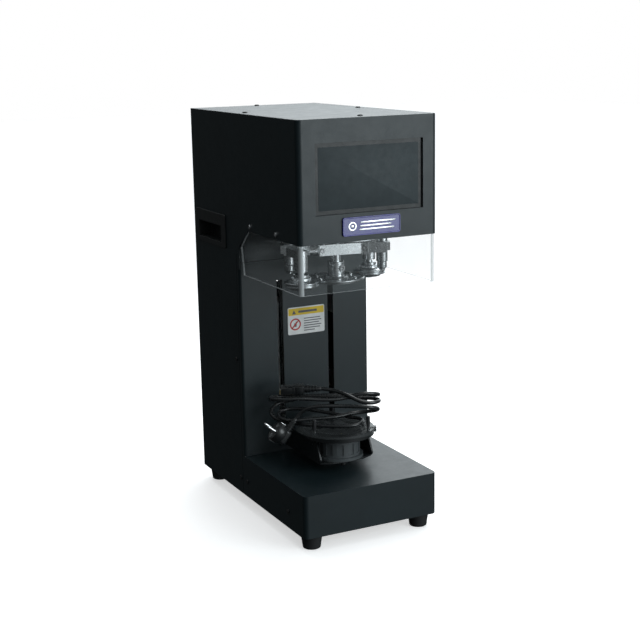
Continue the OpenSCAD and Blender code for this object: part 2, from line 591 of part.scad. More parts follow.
// loose stretch of the lead from the plug to the hank, in the arm frame
lead_route = [[-77.1, 15.6, 190.5], [-71, 15, 201], [-62, 16, 208], [-50, 17, 213], [-37, 18, 216],
  [-24, 18, 217], [-13, 16, 216], [-5, 11, 214]];
function spline_pt(p, i, t) = let (n = len(p), a = p[max(i - 1, 0)], b = p[i], c = p[i + 1], d = p[min(i + 2, n - 1)])
  0.5*(2*b + (c - a)*t + (2*a - 5*b + 4*c - d)*t*t + (3*b - a - 3*c + d)*t*t*t);
lead_pts = concat([for (i = [0 : len(lead_route) - 2], k = [0 : 1]) spline_pt(lead_route, i, k/2)],
  [lead_route[len(lead_route) - 1]]);
function unit(v) = v/norm(v);
function ring_pts(p, i, r, m) = let (n = len(p), d = unit(p[min(i + 1, n - 1)] - p[max(i - 1, 0)]),
  u = unit(cross(d, [0, 0, 1])), w = cross(u, d)) [for (k = [0 : m - 1]) p[i] + r*cos(k*360/m)*u + r*sin(k*360/m)*w];
module tube(p, r, m) {
  n = len(p);
  polyhedron(points = [for (i = [0 : n - 1]) each ring_pts(p, i, r, m)],
    faces = concat([[for (k = [0 : m - 1]) k]],
      [for (i = [0 : n - 2], k = [0 : m - 1]) [i*m + k, (i + 1)*m + k, (i + 1)*m + (k + 1)%m, i*m + (k + 1)%m]],
      [[for (k = [m - 1 : -1 : 0]) (n - 1)*m + k]]));
}
module lead_tube() color("#111315") arm_frame(0) tube(lead_pts, cord_d/2, 10);

outer_shell();
top_cover();
rear_cover();
column_cover();
throat_plate();
base_cover();
bottom_plate();
frame_sides();
head_floor();
head_plate();
feet();
handle_left();
handle_right();
acrylic_guard();
silver_screws();
black_screws();
display_housing();
display_glass();
badge_plate();
info_label();
power_inlet();
switch_housing();
fan_frame();
control_board();
power_supply();
turret_motor();
drive_belts();
spindle_housing();
spindle_bearings();
chuck_shaft();
seaming_chuck();
lift_motor();
guide_rods();
power_rocker();
fan_rotor();
motor_pulley();
turret();
turret_pulley();
pivot_posts();
seaming_cam();
cam_pulley();
right_arm();
left_arm();
right_roller();
left_roller();
lead_screw();
lift_carriage();
lead_nut();
linear_bearings();
lift_fork();
bump_stop();
cushion_spring();
tray_drum();
tray_plate();
tray_disc();
locator_pins();
lead_connector();
lead_hank();
lead_tube();
lead_plug();
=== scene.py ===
import bpy
import bmesh
import json
import math
from mathutils import Vector, Matrix


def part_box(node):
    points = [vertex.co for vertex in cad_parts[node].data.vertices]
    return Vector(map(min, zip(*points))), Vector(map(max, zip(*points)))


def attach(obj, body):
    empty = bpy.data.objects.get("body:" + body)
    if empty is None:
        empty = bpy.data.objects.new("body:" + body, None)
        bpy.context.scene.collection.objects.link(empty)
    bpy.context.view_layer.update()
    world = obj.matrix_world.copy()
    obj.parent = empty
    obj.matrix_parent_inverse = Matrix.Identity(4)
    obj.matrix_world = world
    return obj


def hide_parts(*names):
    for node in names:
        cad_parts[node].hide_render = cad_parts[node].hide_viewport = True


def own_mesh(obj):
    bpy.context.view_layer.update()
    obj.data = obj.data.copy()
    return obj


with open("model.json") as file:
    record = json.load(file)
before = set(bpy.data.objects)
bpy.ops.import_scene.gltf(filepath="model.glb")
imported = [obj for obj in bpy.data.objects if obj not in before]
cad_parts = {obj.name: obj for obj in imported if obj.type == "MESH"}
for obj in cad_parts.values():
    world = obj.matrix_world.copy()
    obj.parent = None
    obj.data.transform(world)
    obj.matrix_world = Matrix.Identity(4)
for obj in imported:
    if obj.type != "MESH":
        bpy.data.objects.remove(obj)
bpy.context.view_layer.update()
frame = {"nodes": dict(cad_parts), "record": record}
scene = bpy.context.scene
scene.view_settings.view_transform = "Standard"

# ------------------------------------------------------------------ camera
YAW, PITCH, ROLL = math.radians(-26.584), math.radians(12.485), math.radians(-1.060)
back = Vector((math.sin(YAW) * math.cos(PITCH), -math.cos(YAW) * math.cos(PITCH), math.sin(PITCH)))
right = (-back).cross(Vector((0, 0, 1))).normalized()
up = right.cross(-back)
right2 = math.cos(ROLL) * right + math.sin(ROLL) * up
up2 = -math.sin(ROLL) * right + math.cos(ROLL) * up
cam_data = bpy.data.cameras.new("photo_camera")
cam_data.sensor_width = 36
cam_data.lens = 36 * 1286.57 / 640
cam_data.clip_start, cam_data.clip_end = 0.05, 60
cam = bpy.data.objects.new("photo_camera", cam_data)
scene.collection.objects.link(cam)
m = Matrix((right2, up2, back)).transposed().to_4x4()
m.translation = Vector((-1.01524, -2.06843, 0.85780))
cam.matrix_world = m
scene.camera = cam

AXIS = Vector((0.0, -0.105, 0.0))
CA, SA = 0.89415, 0.44776


def arm(r, n, z):
    """millimetres in the frame of the seaming arms to metres in the row frame"""
    return Vector(((CA * r - SA * n) / 1000, AXIS.y - (SA * r + CA * n) / 1000, z / 1000))


# --------------------------------------------------------------- node tools
def new_mat(name):
    mat = bpy.data.materials.new(name)
    mat.use_nodes = True
    nt = mat.node_tree
    for n in list(nt.nodes):
        nt.nodes.remove(n)
    out = nt.nodes.new("ShaderNodeOutputMaterial")
    sh = nt.nodes.new("ShaderNodeBsdfPrincipled")
    nt.links.new(sh.outputs[0], out.inputs[0])
    return mat, nt, sh


def node(nt, kind, **kw):
    n = nt.nodes.new(kind)
    for k, v in kw.items():
        if k.startswith("i_"):
            n.inputs[k[2:].replace("_", " ")].default_value = v
        else:
            setattr(n, k, v)
    return n


def noise(nt, scale, detail=3.0, rough=0.55, stretch=None):
    tc = node(nt, "ShaderNodeTexCoord")
    src = tc.outputs["Object"]
    if stretch:
        mp = node(nt, "ShaderNodeMapping")
        mp.inputs["Scale"].default_value = stretch
        nt.links.new(src, mp.inputs[0])
        src = mp.outputs[0]
    n = node(nt, "ShaderNodeTexNoise")
    n.inputs["Scale"].default_value = scale
    n.inputs["Detail"].default_value = detail
    n.inputs["Roughness"].default_value = rough
    nt.links.new(src, n.inputs["Vector"])
    return n


def ramp(nt, src, stops):
    r = node(nt, "ShaderNodeValToRGB")
    e = r.color_ramp.elements
    while len(e) > 1:
        e.remove(e[-1])
    for k, (p, c) in enumerate(stops):
        el = e[0] if k == 0 else e.new(p)
        el.position = p
        el.color = (c[0], c[1], c[2], 1) if isinstance(c, (tuple, list)) else (c, c, c, 1)
    nt.links.new(src, r.inputs[0])
    return r


def bump(nt, sh, src, strength, distance, prev=None):
    b = node(nt, "ShaderNodeBump")
    b.inputs["Strength"].default_value = strength
    b.inputs["Distance"].default_value = distance
    nt.links.new(src, b.inputs["Height"])
    if prev:
        nt.links.new(prev.outputs[0], b.inputs["Normal"])
    nt.links.new(b.outputs[0], sh.inputs["Normal"])
    return b


def powder(name, base, rough=0.5, grain=900.0, depth=0.00006, strength=0.5, spec=0.5, blotch=0.12):
    """powder coated sheet: fine orange peel, faint handling marks, slightly uneven gloss"""
    mat, nt, sh = new_mat(name)
    n1 = noise(nt, 14, 4, 0.6)
    lo = tuple(c * (1 - blotch) for c in base)
    hi = tuple(c * (1 + blotch) for c in base)
    r1 = ramp(nt, n1.outputs["Fac"], [(0.3, lo), (0.7, hi)])
    nt.links.new(r1.outputs[0], sh.inputs["Base Color"])
    n2 = noise(nt, 45, 5, 0.7)
    r2 = ramp(nt, n2.outputs["Fac"], [(0.25, rough - 0.05), (0.75, rough + 0.05)])
    nt.links.new(r2.outputs[0], sh.inputs["Roughness"])
    sh.inputs["Specular IOR Level"].default_value = spec
    n3 = noise(nt, grain, 2, 0.5)
    b1 = bump(nt, sh, n3.outputs["Fac"], strength, depth)
    n4 = noise(nt, grain * 0.16, 2, 0.5)
    bump(nt, sh, n4.outputs["Fac"], strength * 0.35, depth * 2.0, b1)
    return mat


def metal(name, base, rough=0.25, stretch=None, scale=400.0, aniso=0.0, var=0.08, depth=0.00002, strength=0.35, metallic=1.0):
    mat, nt, sh = new_mat(name)
    n1 = noise(nt, 30, 4, 0.65)
    lo = tuple(c * (1 - var) for c in base)
    hi = tuple(min(1.0, c * (1 + var)) for c in base)
    r1 = ramp(nt, n1.outputs["Fac"], [(0.3, lo), (0.7, hi)])
    nt.links.new(r1.outputs[0], sh.inputs["Base Color"])
    sh.inputs["Metallic"].default_value = metallic
    sh.inputs["Anisotropic"].default_value = aniso
    n2 = noise(nt, scale, 3, 0.6, stretch)
    r2 = ramp(nt, n2.outputs["Fac"], [(0.3, max(rough - 0.07, 0.04)), (0.7, rough + 0.1)])
    nt.links.new(r2.outputs[0], sh.inputs["Roughness"])
    bump(nt, sh, n2.outputs["Fac"], strength, depth)
    return mat


def plastic(name, base, rough=0.4, grain=600.0, depth=0.00004, strength=0.3, coat=0.0, spec=0.5):
    mat, nt, sh = new_mat(name)
    n1 = noise(nt, 40, 3, 0.6)
    r1 = ramp(nt, n1.outputs["Fac"], [(0.3, tuple(c * 0.88 for c in base)), (0.7, tuple(min(1, c * 1.12) for c in base))])
    nt.links.new(r1.outputs[0], sh.inputs["Base Color"])
    n2 = noise(nt, 90, 4, 0.65)
    r2 = ramp(nt, n2.outputs["Fac"], [(0.3, rough - 0.05), (0.7, rough + 0.07)])
    nt.links.new(r2.outputs[0], sh.inputs["Roughness"])
    sh.inputs["Coat Weight"].default_value = coat
    sh.inputs["Coat Roughness"].default_value = 0.12
    sh.inputs["Specular IOR Level"].default_value = spec
    n3 = noise(nt, grain, 2, 0.5)
    bump(nt, sh, n3.outputs["Fac"], strength, depth)
    return mat


def acrylic(name, tint, rough=0.02, scratch=0.03):
    """clear cast sheet with a faint haze of wiping marks"""
    mat, nt, sh = new_mat(name)
    n1 = noise(nt, 20, 3, 0.6)
    r1 = ramp(nt, n1.outputs["Fac"], [(0.3, tuple(c * 0.985 for c in tint)), (0.7, tint)])
    nt.links.new(r1.outputs[0], sh.inputs["Base Color"])
    sh.inputs["Transmission Weight"].default_value = 1.0
    sh.inputs["IOR"].default_value = 1.49
    n2 = noise(nt, 260, 4, 0.7, (1, 1, 0.25))
    r2 = ramp(nt, n2.outputs["Fac"], [(0.55, rough), (0.8, rough + scratch)])
    nt.links.new(r2.outputs[0], sh.inputs["Roughness"])
    return mat


BLACK = (0.0085, 0.0172, 0.0208)
M = {}
M["black_powder_coat"] = powder("powder_coat_body", BLACK, 0.42, 1000, 0.00005, 0.55)
M["cover_powder_coat"] = powder("powder_coat_covers", BLACK, 0.40, 1000, 0.00005, 0.5)
M["zinc_steel"] = metal("zinc_plated_steel", (0.62, 0.63, 0.62), 0.34, None, 60, 0.0, 0.16)
M["machined_aluminium"] = metal("machined_aluminium", (0.70, 0.72, 0.73), 0.27, (1, 1, 9), 260, 0.2)
M["turned_steel"] = metal("turned_steel", (0.62, 0.64, 0.65), 0.2, (1, 1, 14), 300, 0.4)
M["polished_screw"] = metal("nickel_screw", (0.8, 0.81, 0.82), 0.16, None, 500)
M["black_screw"] = powder("black_oxide_screw", (0.02, 0.021, 0.023), 0.35, 2500, 0.00002, 0.3)
M["black_rubber"] = plastic("moulded_rubber", (0.018, 0.019, 0.02), 0.7, 900, 0.00006, 0.5)
M["black_plastic"] = plastic("black_abs", (0.016, 0.018, 0.019), 0.42, 1500, 0.00004, 0.35)
M["black_gloss_paint"] = powder("gloss_black_paint", (0.012, 0.014, 0.015), 0.24, 500, 0.00004, 0.3)
M["lead_pvc"] = plastic("glossy_pvc", (0.012, 0.0135, 0.0145), 0.27, 900, 0.00003, 0.25, 0.2)
M["display_glass"] = plastic("touch_panel_glass", (0.006, 0.008, 0.009), 0.32, 200, 0.000005, 0.1, 0.0, 0.35)
def thin_sheet(name, tint, alpha, rough):
    """clear sheet seen through, with a faint film of wiping marks on its faces"""
    mat, nt, sh = new_mat(name)
    n1 = noise(nt, 34, 4, 0.65, (1, 1, 0.4))
    r1 = ramp(nt, n1.outputs["Fac"], [(0.3, tuple(c * 0.95 for c in tint)), (0.7, tint)])
    nt.links.new(r1.outputs[0], sh.inputs["Base Color"])
    r2 = ramp(nt, n1.outputs["Fac"], [(0.3, rough), (0.8, rough + 0.06)])
    nt.links.new(r2.outputs[0], sh.inputs["Roughness"])
    r3 = ramp(nt, n1.outputs["Fac"], [(0.35, alpha * 0.8), (0.8, alpha * 1.25)])
    nt.links.new(r3.outputs[0], sh.inputs["Alpha"])
    return mat


M["clear_acrylic"] = thin_sheet("clear_acrylic", (0.5, 0.54, 0.55), 0.05, 0.05)
M["acrylic_edge"] = thin_sheet("acrylic_edge", (0.8, 0.84, 0.85), 0.6, 0.2)
M["badge_enamel"] = plastic("blue_enamel", (0.022, 0.018, 0.24), 0.2, 700, 0.00002, 0.2, 0.5)
M["badge_rim"] = metal("badge_rim_metal", (0.78, 0.79, 0.8), 0.22, None, 600)
M["label_print"] = plastic("printed_polyester", (0.8, 0.8, 0.79), 0.42, 1200, 0.00002, 0.2)
M["belt_rubber"] = plastic("belt_rubber", (0.02, 0.02, 0.021), 0.6, 700, 0.0001, 0.5)
M["board_green"] = plastic("solder_mask", (0.015, 0.12, 0.055), 0.3, 900, 0.00003, 0.3)
M["motor_black"] = powder("motor_enamel", (0.02, 0.022, 0.024), 0.35, 700, 0.00005, 0.4)
M["brass"] = metal("turned_brass", (0.72, 0.52, 0.2), 0.25, (1, 1, 12), 300, 0.3)
M["drum_grey"] = plastic("grey_polymer", (0.085, 0.095, 0.1), 0.35, 800, 0.00004, 0.3)

slot_of = {s["node"]: s["material_slot"] for s in frame["record"]["subparts"]}
for name, obj in frame["nodes"].items():
    obj.data.materials.clear()
    obj.data.materials.append(M[slot_of[name]])


def link(obj, body, slot, mat=None):
    if mat is not None and hasattr(obj.data, "materials"):
        obj.data.materials.clear()
        obj.data.materials.append(mat)
    if obj.name not in scene.collection.objects:
        scene.collection.objects.link(obj)
    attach(obj, body)
    return obj


body_of = {n: b for b, v in frame["record"]["behaviour"]["bodies"].items() for n in v}


def bevelled(name, width, segments=3, angle=28, mat=None, mats=None):
    """a copy of the CAD node with its edges rounded, which stands for the node"""
    src = frame["nodes"][name]
    me = src.data.copy()
    me.name = name + "_rounded"
    ob = bpy.data.objects.new(name + "_rounded", me)
    scene.collection.objects.link(ob)
    bm = bmesh.new()
    bm.from_mesh(me)
    bmesh.ops.remove_doubles(bm, verts=bm.verts, dist=0.00001)
    bmesh.ops.dissolve_limit(bm, angle_limit=math.radians(0.6), verts=bm.verts, edges=bm.edges)
    bm.to_mesh(me)
    bm.free()
    md = ob.modifiers.new("edge", "BEVEL")
    md.width = width
    md.segments = segments
    md.limit_method = "ANGLE"
    md.angle_limit = math.radians(angle)
    md.use_clamp_overlap = True
    md.harden_normals = False
    for p_ in me.polygons:
        p_.use_smooth = True
    wn = ob.modifiers.new("flat_faces", "WEIGHTED_NORMAL")
    wn.mode = "FACE_AREA"
    wn.weight = 100
    wn.keep_sharp = False
    dg = bpy.context.evaluated_depsgraph_get()
    new = bpy.data.meshes.new_from_object(ob.evaluated_get(dg))
    ob.modifiers.clear()
    ob.data = new
    for p in new.polygons:
        p.use_smooth = True
    new.set_sharp_from_angle(angle=math.radians(35))
    new.materials.clear()
    for x in mats or [mat or M[slot_of[name]]]:
        new.materials.append(x)
    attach(ob, body_of[name])
    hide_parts(name)
    return ob



# -------------------------------------------------------------- mesh tools
def mesh_obj(name, bm, mat, smooth=30):
    bmesh.ops.recalc_face_normals(bm, faces=bm.faces)
    me = bpy.data.meshes.new(name)
    bm.to_mesh(me)
    bm.free()
    for p in me.polygons:
        p.use_smooth = True
    me.set_sharp_from_angle(angle=math.radians(smooth))
    me.materials.append(mat)
    ob = bpy.data.objects.new(name, me)
    scene.collection.objects.link(ob)
    return ob


def lathe(bm, prof, mat4, segs=48):
    """profile of (radius, height) turned about the local Z of mat4, in millimetres"""
    rings = []
    for r, h in prof:
        if r < 1e-6:
            rings.append([bm.verts.new(mat4 @ Vector((0, 0, h / 1000)))])
        else:
            rings.append([bm.verts.new(mat4 @ Vector((r * math.cos(2 * math.pi * k / segs) / 1000, r * math.sin(2 * math.pi * k / segs) / 1000, h / 1000))) for k in range(segs)])
    for a, b in zip(rings, rings[1:]):
        for k in range(segs):
            q = (k + 1) % segs
            if len(a) == 1 and len(b) == 1:
                continue
            if len(a) == 1:
                bm.faces.new((a[0], b[k], b[q]))
            elif len(b) == 1:
                bm.faces.new((a[k], a[q], b[0]))
            else:
                bm.faces.new((a[k], a[q], b[q], b[k]))
    return bm


def prism(bm, pts, z0, z1, mat4):
    """plan outline in millimetres between two heights"""
    lo = [bm.verts.new(mat4 @ Vector((x / 1000, y / 1000, z0 / 1000))) for x, y in pts]
    hi = [bm.verts.new(mat4 @ Vector((x / 1000, y / 1000, z1 / 1000))) for x, y in pts]
    n = len(pts)
    bm.faces.new(lo[::-1])
    bm.faces.new(hi)
    for k in range(n):
        bm.faces.new((lo[k], lo[(k + 1) % n], hi[(k + 1) % n], hi[k]))


def round_outline(w, h, r, seg=5, cx=0.0, cy=0.0):
    out = []
    for sx, sy, a0 in ((1, 1, 0), (-1, 1, 90), (-1, -1, 180), (1, -1, 270)):
        for k in range(seg + 1):
            a = math.radians(a0 + 90 * k / seg)
            out.append((cx + sx * (w / 2 - r) + r * math.cos(a), cy + sy * (h / 2 - r) + r * math.sin(a)))
    return out


def ring_outline(bm, outer, inner, z0, z1, mat4):
    lo = [[bm.verts.new(mat4 @ Vector((x / 1000, y / 1000, z / 1000))) for x, y in o] for o in (outer, inner) for z in (z0, z1)]
    n = len(outer)
    for k in range(n):
        q = (k + 1) % n
        bm.faces.new((lo[1][k], lo[1][q], lo[3][q], lo[3][k]))
        bm.faces.new((lo[0][k], lo[0][q], lo[1][q], lo[1][k]))
        bm.faces.new((lo[2][k], lo[2][q], lo[3][q], lo[3][k]))
        bm.faces.new((lo[0][k], lo[0][q], lo[2][q], lo[2][k]))


def bevel_apply(ob, width, segments=2, angle=30):
    md = ob.modifiers.new("edge", "BEVEL")
    md.width = width
    md.segments = segments
    md.limit_method = "ANGLE"
    md.angle_limit = math.radians(angle)
    dg = bpy.context.evaluated_depsgraph_get()
    new = bpy.data.meshes.new_from_object(ob.evaluated_get(dg))
    ob.modifiers.clear()
    ob.data = new
    for p in new.polygons:
        p.use_smooth = True
    new.set_sharp_from_angle(angle=math.radians(38))
    return ob


def place(ob, body):
    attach(ob, body)
    return ob


def axis_matrix(origin, direction):
    d = Vector(direction).normalized()
    q = d.to_track_quat("Z", "Y")
    return Matrix.Translation(Vector(origin)) @ q.to_matrix().to_4x4()


def cap_screw(name, origin, direction, r, h, socket, body, mat=None):
    m4 = axis_matrix(origin, direction)
    bm = bmesh.new()
    c = min(0.35, r * 0.12)
    lathe(bm, [(0, -0.5), (r, -0.5), (r, h - c), (r - c, h), (socket * 1.18, h), (socket * 1.1, h - 0.15)], m4, 40)
    lathe(bm, [(socket * 1.1, h - 0.15), (socket, h - 0.5), (socket, h * 0.35), (0, h * 0.25)], m4, 6)
    ob = mesh_obj(name, bm, mat or M["polished_screw"], 28)
    return place(ob, body)


# ------------------------------------------------------------- power lead
LEAD = [
    (-17.0, -71.9, 237.5), (-9.2, -76.2, 236.2), (-1.6, -80.7, 234.8), (5.2, -86.2, 233.1), (11.4, -92.4, 231.1), (17.1, -99.0, 228.8),
    (22.7, -105.3, 225.8), (28.5, -111.0, 222.1), (34.7, -116.4, 218.5), (41.7, -121.3, 215.8), (49.7, -125.0, 214.2), (58.4, -126.5, 213.4),
    (67.2, -124.9, 213.1), (74.7, -120.1, 212.6), (79.6, -112.7, 211.9), (81.2, -104.0, 211.1), (79.1, -95.3, 210.5), (74.0, -88.0, 210.1),
    (67.1, -82.2, 210.1), (59.4, -77.7, 210.3), (51.5, -73.5, 210.8), (43.5, -69.5, 211.3), (35.5, -65.5, 211.9), (27.5, -61.6, 212.6),
    (19.3, -57.9, 213.4), (11.0, -54.6, 214.2), (2.7, -51.4, 215.1), (-5.7, -48.3, 215.8), (-14.1, -45.2, 216.5), (-22.5, -42.1, 217.1),
    (-30.9, -39.1, 217.6), (-39.3, -36.1, 218.0), (-47.7, -32.9, 218.3), (-56.1, -29.7, 218.6), (-64.5, -26.7, 218.8), (-73.2, -24.3, 219.1),
    (-82.1, -23.7, 219.6), (-90.7, -25.8, 220.5), (-97.8, -31.0, 221.6), (-102.3, -38.6, 222.9), (-103.5, -47.4, 224.1), (-101.2, -55.9, 225.1),
    (-96.0, -63.1, 225.8), (-88.9, -68.6, 226.3), (-80.9, -72.6, 226.8), (-72.5, -75.7, 227.0), (-63.9, -78.4, 226.8), (-55.3, -80.6, 226.0),
    (-46.6, -82.6, 224.8), (-38.0, -84.7, 223.5), (-29.4, -86.8, 222.3), (-20.8, -89.2, 221.2), (-12.2, -91.6, 220.5), (-3.5, -93.7, 220.1),
    (5.3, -95.5, 220.2), (14.1, -97.0, 220.6), (22.8, -98.8, 221.7), (31.2, -101.3, 223.7), (39.3, -104.5, 225.7), (47.6, -107.7, 226.9),
    (56.2, -110.3, 226.9), (65.0, -111.4, 225.9), (73.7, -110.2, 224.1), (81.1, -106.1, 221.5), (86.3, -99.4, 218.5), (88.5, -91.3, 215.5),
    (87.3, -82.9, 212.9), (83.1, -75.2, 211.1), (76.8, -68.9, 210.2), (69.5, -63.7, 210.0), (61.6, -59.5, 210.4), (53.4, -55.8, 211.0),
    (45.1, -52.6, 211.6), (36.6, -49.6, 212.2), (28.2, -46.7, 212.8), (19.8, -43.7, 213.1), (11.4, -40.5, 213.4), (3.0, -37.2, 213.4),
    (-5.3, -33.8, 213.1), (-13.5, -30.4, 212.5), (-21.8, -27.0, 211.5), (-29.9, -23.5, 210.1), (-38.0, -20.0, 208.6), (-46.1, -16.5, 206.9),
    (-54.2, -13.1, 205.3), (-62.7, -10.5, 203.8), (-71.4, -9.2, 202.2), (-80.0, -10.3, 199.9), (-87.4, -14.0, 196.7), (-92.7, -20.1, 193.0),
    (-95.0, -27.8, 189.0), (-94.0, -35.9, 185.5), (-90.0, -43.5, 182.9), (-84.4, -50.3, 181.5), (-78.8, -57.3, 180.8), (-73.9, -64.8, 180.7),
    (-69.4, -72.5, 180.7), (-64.7, -80.2, 180.8), (-59.6, -87.5, 180.9), (-53.9, -94.5, 181.0), (-47.8, -101.1, 181.0), (-41.4, -107.3, 181.0),
    (-34.6, -113.2, 181.0), (-27.6, -118.8, 181.0), (-20.4, -124.0, 181.0), (-12.8, -128.8, 181.0), (-4.9, -133.1, 181.0), (3.4, -136.5, 181.0),
    (12.1, -138.6, 181.1), (21.0, -138.5, 181.5), (29.3, -135.2, 182.1), (35.6, -129.0, 182.9), (38.8, -120.7, 183.5), (38.3, -111.8, 183.7),
    (34.5, -103.7, 183.4), (28.7, -96.8, 183.4), (22.2, -90.8, 184.5), (15.5, -85.1, 186.1), (8.7, -79.3, 187.5), (1.9, -73.7, 188.8),
    (-5.1, -68.2, 190.0), (-12.1, -62.7, 191.3), (-19.2, -57.4, 192.5), (-26.3, -52.1, 193.7), (-33.6, -47.0, 194.8), (-41.1, -42.1, 195.5),
    (-48.8, -37.5, 195.9), (-56.9, -33.8, 196.0), (-65.6, -31.7, 195.7), (-74.5, -32.1, 195.0), (-82.6, -35.7, 193.8), (-88.6, -42.1, 192.3),
    (-91.7, -50.3, 190.9), (-91.4, -59.2, 189.6), (-87.7, -67.2, 188.6), (-81.4, -73.5, 188.1), (-73.5, -77.9, 188.0), (-65.1, -80.9, 188.1),
    (-56.5, -83.3, 188.1), (-47.8, -85.5, 188.0), (-39.1, -87.7, 188.0), (-30.4, -89.8, 188.0), (-21.6, -91.9, 187.9), (-12.9, -93.7, 187.9),
    (-4.0, -95.3, 187.9), (4.8, -96.5, 188.1), (13.7, -97.4, 188.8), (22.6, -98.1, 189.8), (31.5, -98.9, 190.6), (40.4, -100.0, 190.8),
    (49.1, -102.2, 191.2), (57.0, -106.3, 192.2), (63.3, -112.4, 193.8), (66.9, -120.1, 196.3), (67.3, -128.4, 199.7), (64.4, -135.9, 203.6),
    (58.6, -141.5, 207.3), (50.7, -144.4, 210.2), (42.0, -144.4, 212.2), (33.6, -141.5, 213.2), (25.8, -137.2, 213.7), (18.3, -132.4, 213.9),
    (10.8, -127.5, 214.0), (3.1, -122.9, 214.2), (-4.9, -119.0, 214.6), (-13.2, -115.6, 215.2), (-21.6, -112.5, 215.9), (-29.9, -109.4, 216.2),
    (-38.0, -105.8, 215.9), (-45.7, -101.6, 214.6), (-52.8, -96.9, 212.2), (-59.1, -92.1, 208.6), (-64.9, -88.2, 203.6), (-70.4, -85.7, 197.4),
    (-75.9, -84.4, 190.5),
]


def smooth_path(p, k):
    out = []
    q = [2 * p[0] - p[1]] + p + [2 * p[-1] - p[-2]]
    for i in range(1, len(q) - 2):
        a, b, c, d = q[i - 1], q[i], q[i + 1], q[i + 2]
        for j in range(k):
            t = j / k
            out.append(0.5 * (2 * b + (c - a) * t + (2 * a - 5 * b + 4 * c - d) * t * t + (3 * b - a - 3 * c + d) * t ** 3))
    out.append(p[-1])
    return out


lead_path = smooth_path([Vector(p) / 1000 for p in LEAD], 3)
cu = bpy.data.curves.new("power_lead", "CURVE")
cu.dimensions = "3D"
cu.bevel_depth = 0.0035
cu.bevel_resolution = 5
cu.use_fill_caps = True
sp = cu.splines.new("POLY")
sp.points.add(len(lead_path) - 1)
for k, p in enumerate(lead_path):
    sp.points[k].co = (p.x, p.y, p.z, 1)
sp.use_smooth = True
lead = bpy.data.objects.new("power_lead", cu)
scene.collection.objects.link(lead)
cu.materials.append(M["lead_pvc"])
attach(lead, "can_rest")
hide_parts("lead_hank", "lead_tube")

RIB = [(0, 7.6), (1.2, 7.8), (1.8, 6.2), (3.6, 6.1), (4.2, 7.4), (5.8, 7.2), (6.4, 5.8), (8.2, 5.7), (8.8, 6.9), (10.4, 6.7), (11, 5.3),
       (12.8, 5.2), (13.4, 6.4), (15, 6.2), (15.6, 4.9), (17.4, 4.8), (18, 5.9), (19.6, 5.7), (20.2, 4.5), (25, 4.2), (26, 3.6)]

# appliance connector
conn = Matrix((
    (CA / 1, -SA, 0, 0), (-SA, -CA, 0, AXIS.y), (0, 0, 1, 0), (0, 0, 0, 1)))
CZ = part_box("lead_connector")[0].z * 1000
bm = bmesh.new()
along = conn @ Matrix.Translation(Vector((-102 / 1000, -22 / 1000, (CZ + 8) / 1000))) @ Matrix.Rotation(math.pi / 2, 4, "Y")
nose = [(-10.4, -6.6), (10.4, -6.6), (10.4, 4.0), (7.0, 7.0), (-7.0, 7.0), (-10.4, 4.0)]
prism(bm, [(-y, x) for x, y in nose], 0, 22, along)
nose_ob = mesh_obj("connector_nose", bm, M["lead_pvc"])
bevel_apply(nose_ob, 0.0009, 3)
bm = bmesh.new()
for k, (x0, x1, hw_, hh) in enumerate(((21, 26, 10.8, 7.6), (26, 41, 11.6, 8.4))):
    prism(bm, [(-y, x) for x, y in round_outline(2 * hw_, 2 * hh, 3.2)], x0, x1, along)
grip = mesh_obj("connector_grip", bm, M["lead_pvc"])
bevel_apply(grip, 0.0008, 2)
bm = bmesh.new()
for k in range(5):
    for s in (-1, 1):
        prism(bm, [(s * 8.0, -7.2), (s * 8.9, -7.2), (s * 8.9, 7.2), (s * 8.0, 7.2)], 28.0 + 2.4 * k, 29.2 + 2.4 * k, along)
ribs = mesh_obj("connector_grip_ribs", bm, M["lead_pvc"])
bevel_apply(ribs, 0.0003, 2)
bm = bmesh.new()
lathe(bm, [(0, 40)] + [(r, 41 + h * 1.2) for h, r in RIB] + [(0, 72.3)], along, 40)
relief = mesh_obj("connector_relief", bm, M["lead_pvc"], 34)
bm = bmesh.new()
for y in (-6.4, 0, 6.4):
    prism(bm, round_outline(2.6, 1.4, 0.3, 2, -1.0 if y else 1.6, y), -0.15, 0.4, along)
slots_ob = mesh_obj("connector_slots", bm, M["black_rubber"])
for o in (nose_ob, grip, ribs, relief, slots_ob):
    place(o, "can_rest")

# angled two pin plug
plug = Matrix.Translation(Vector((-0.1012, -0.081, 0.166))) @ Matrix.Rotation(math.radians(172), 4, "Z") @ Matrix.Rotation(math.radians(-38), 4, "Y")
face = plug @ Matrix.Rotation(math.pi / 2, 4, "Y")
bm = bmesh.new()
lathe(bm, [(0, -1), (13, -1), (17, 0.5), (18.5, 3), (18.5, 14.6), (17.6, 16.4), (16.6, 16.9), (15.2, 16.9), (14.6, 16.2), (0, 16.2)], face, 64)
plug_body = mesh_obj("plug_body", bm, M["lead_pvc"], 34)
bm = bmesh.new()
prism(bm, [(-12, -11), (1.5, -12), (1.5, 12), (-12, 11)], -13, 13.5, plug)
plug_back = mesh_obj("plug_back", bm, M["lead_pvc"])
bevel_apply(plug_back, 0.004, 5)
bm = bmesh.new()
up_m = plug @ Matrix.Translation(Vector((-0.005, 0, 0.0115)))
lathe(bm, [(0, 0)] + [(r * 0.98, 0.5 + h) for h, r in RIB] + [(0, 26.6)], up_m, 40)
plug_relief = mesh_obj("plug_relief", bm, M["lead_pvc"], 34)
bm = bmesh.new()
for s in (-1, 1):
    pin = plug @ Matrix.Translation(Vector((0.016, s * 0.0095, 0))) @ Matrix.Rotation(math.pi / 2, 4, "Y")
    lathe(bm, [(0, 0), (2.4, 0), (2.4, 17.6), (2.1, 18.9), (1.3, 19.7), (0, 19.9)], pin, 32)
pins_ob = mesh_obj("plug_pins", bm, M["polished_screw"], 34)
bm = bmesh.new()
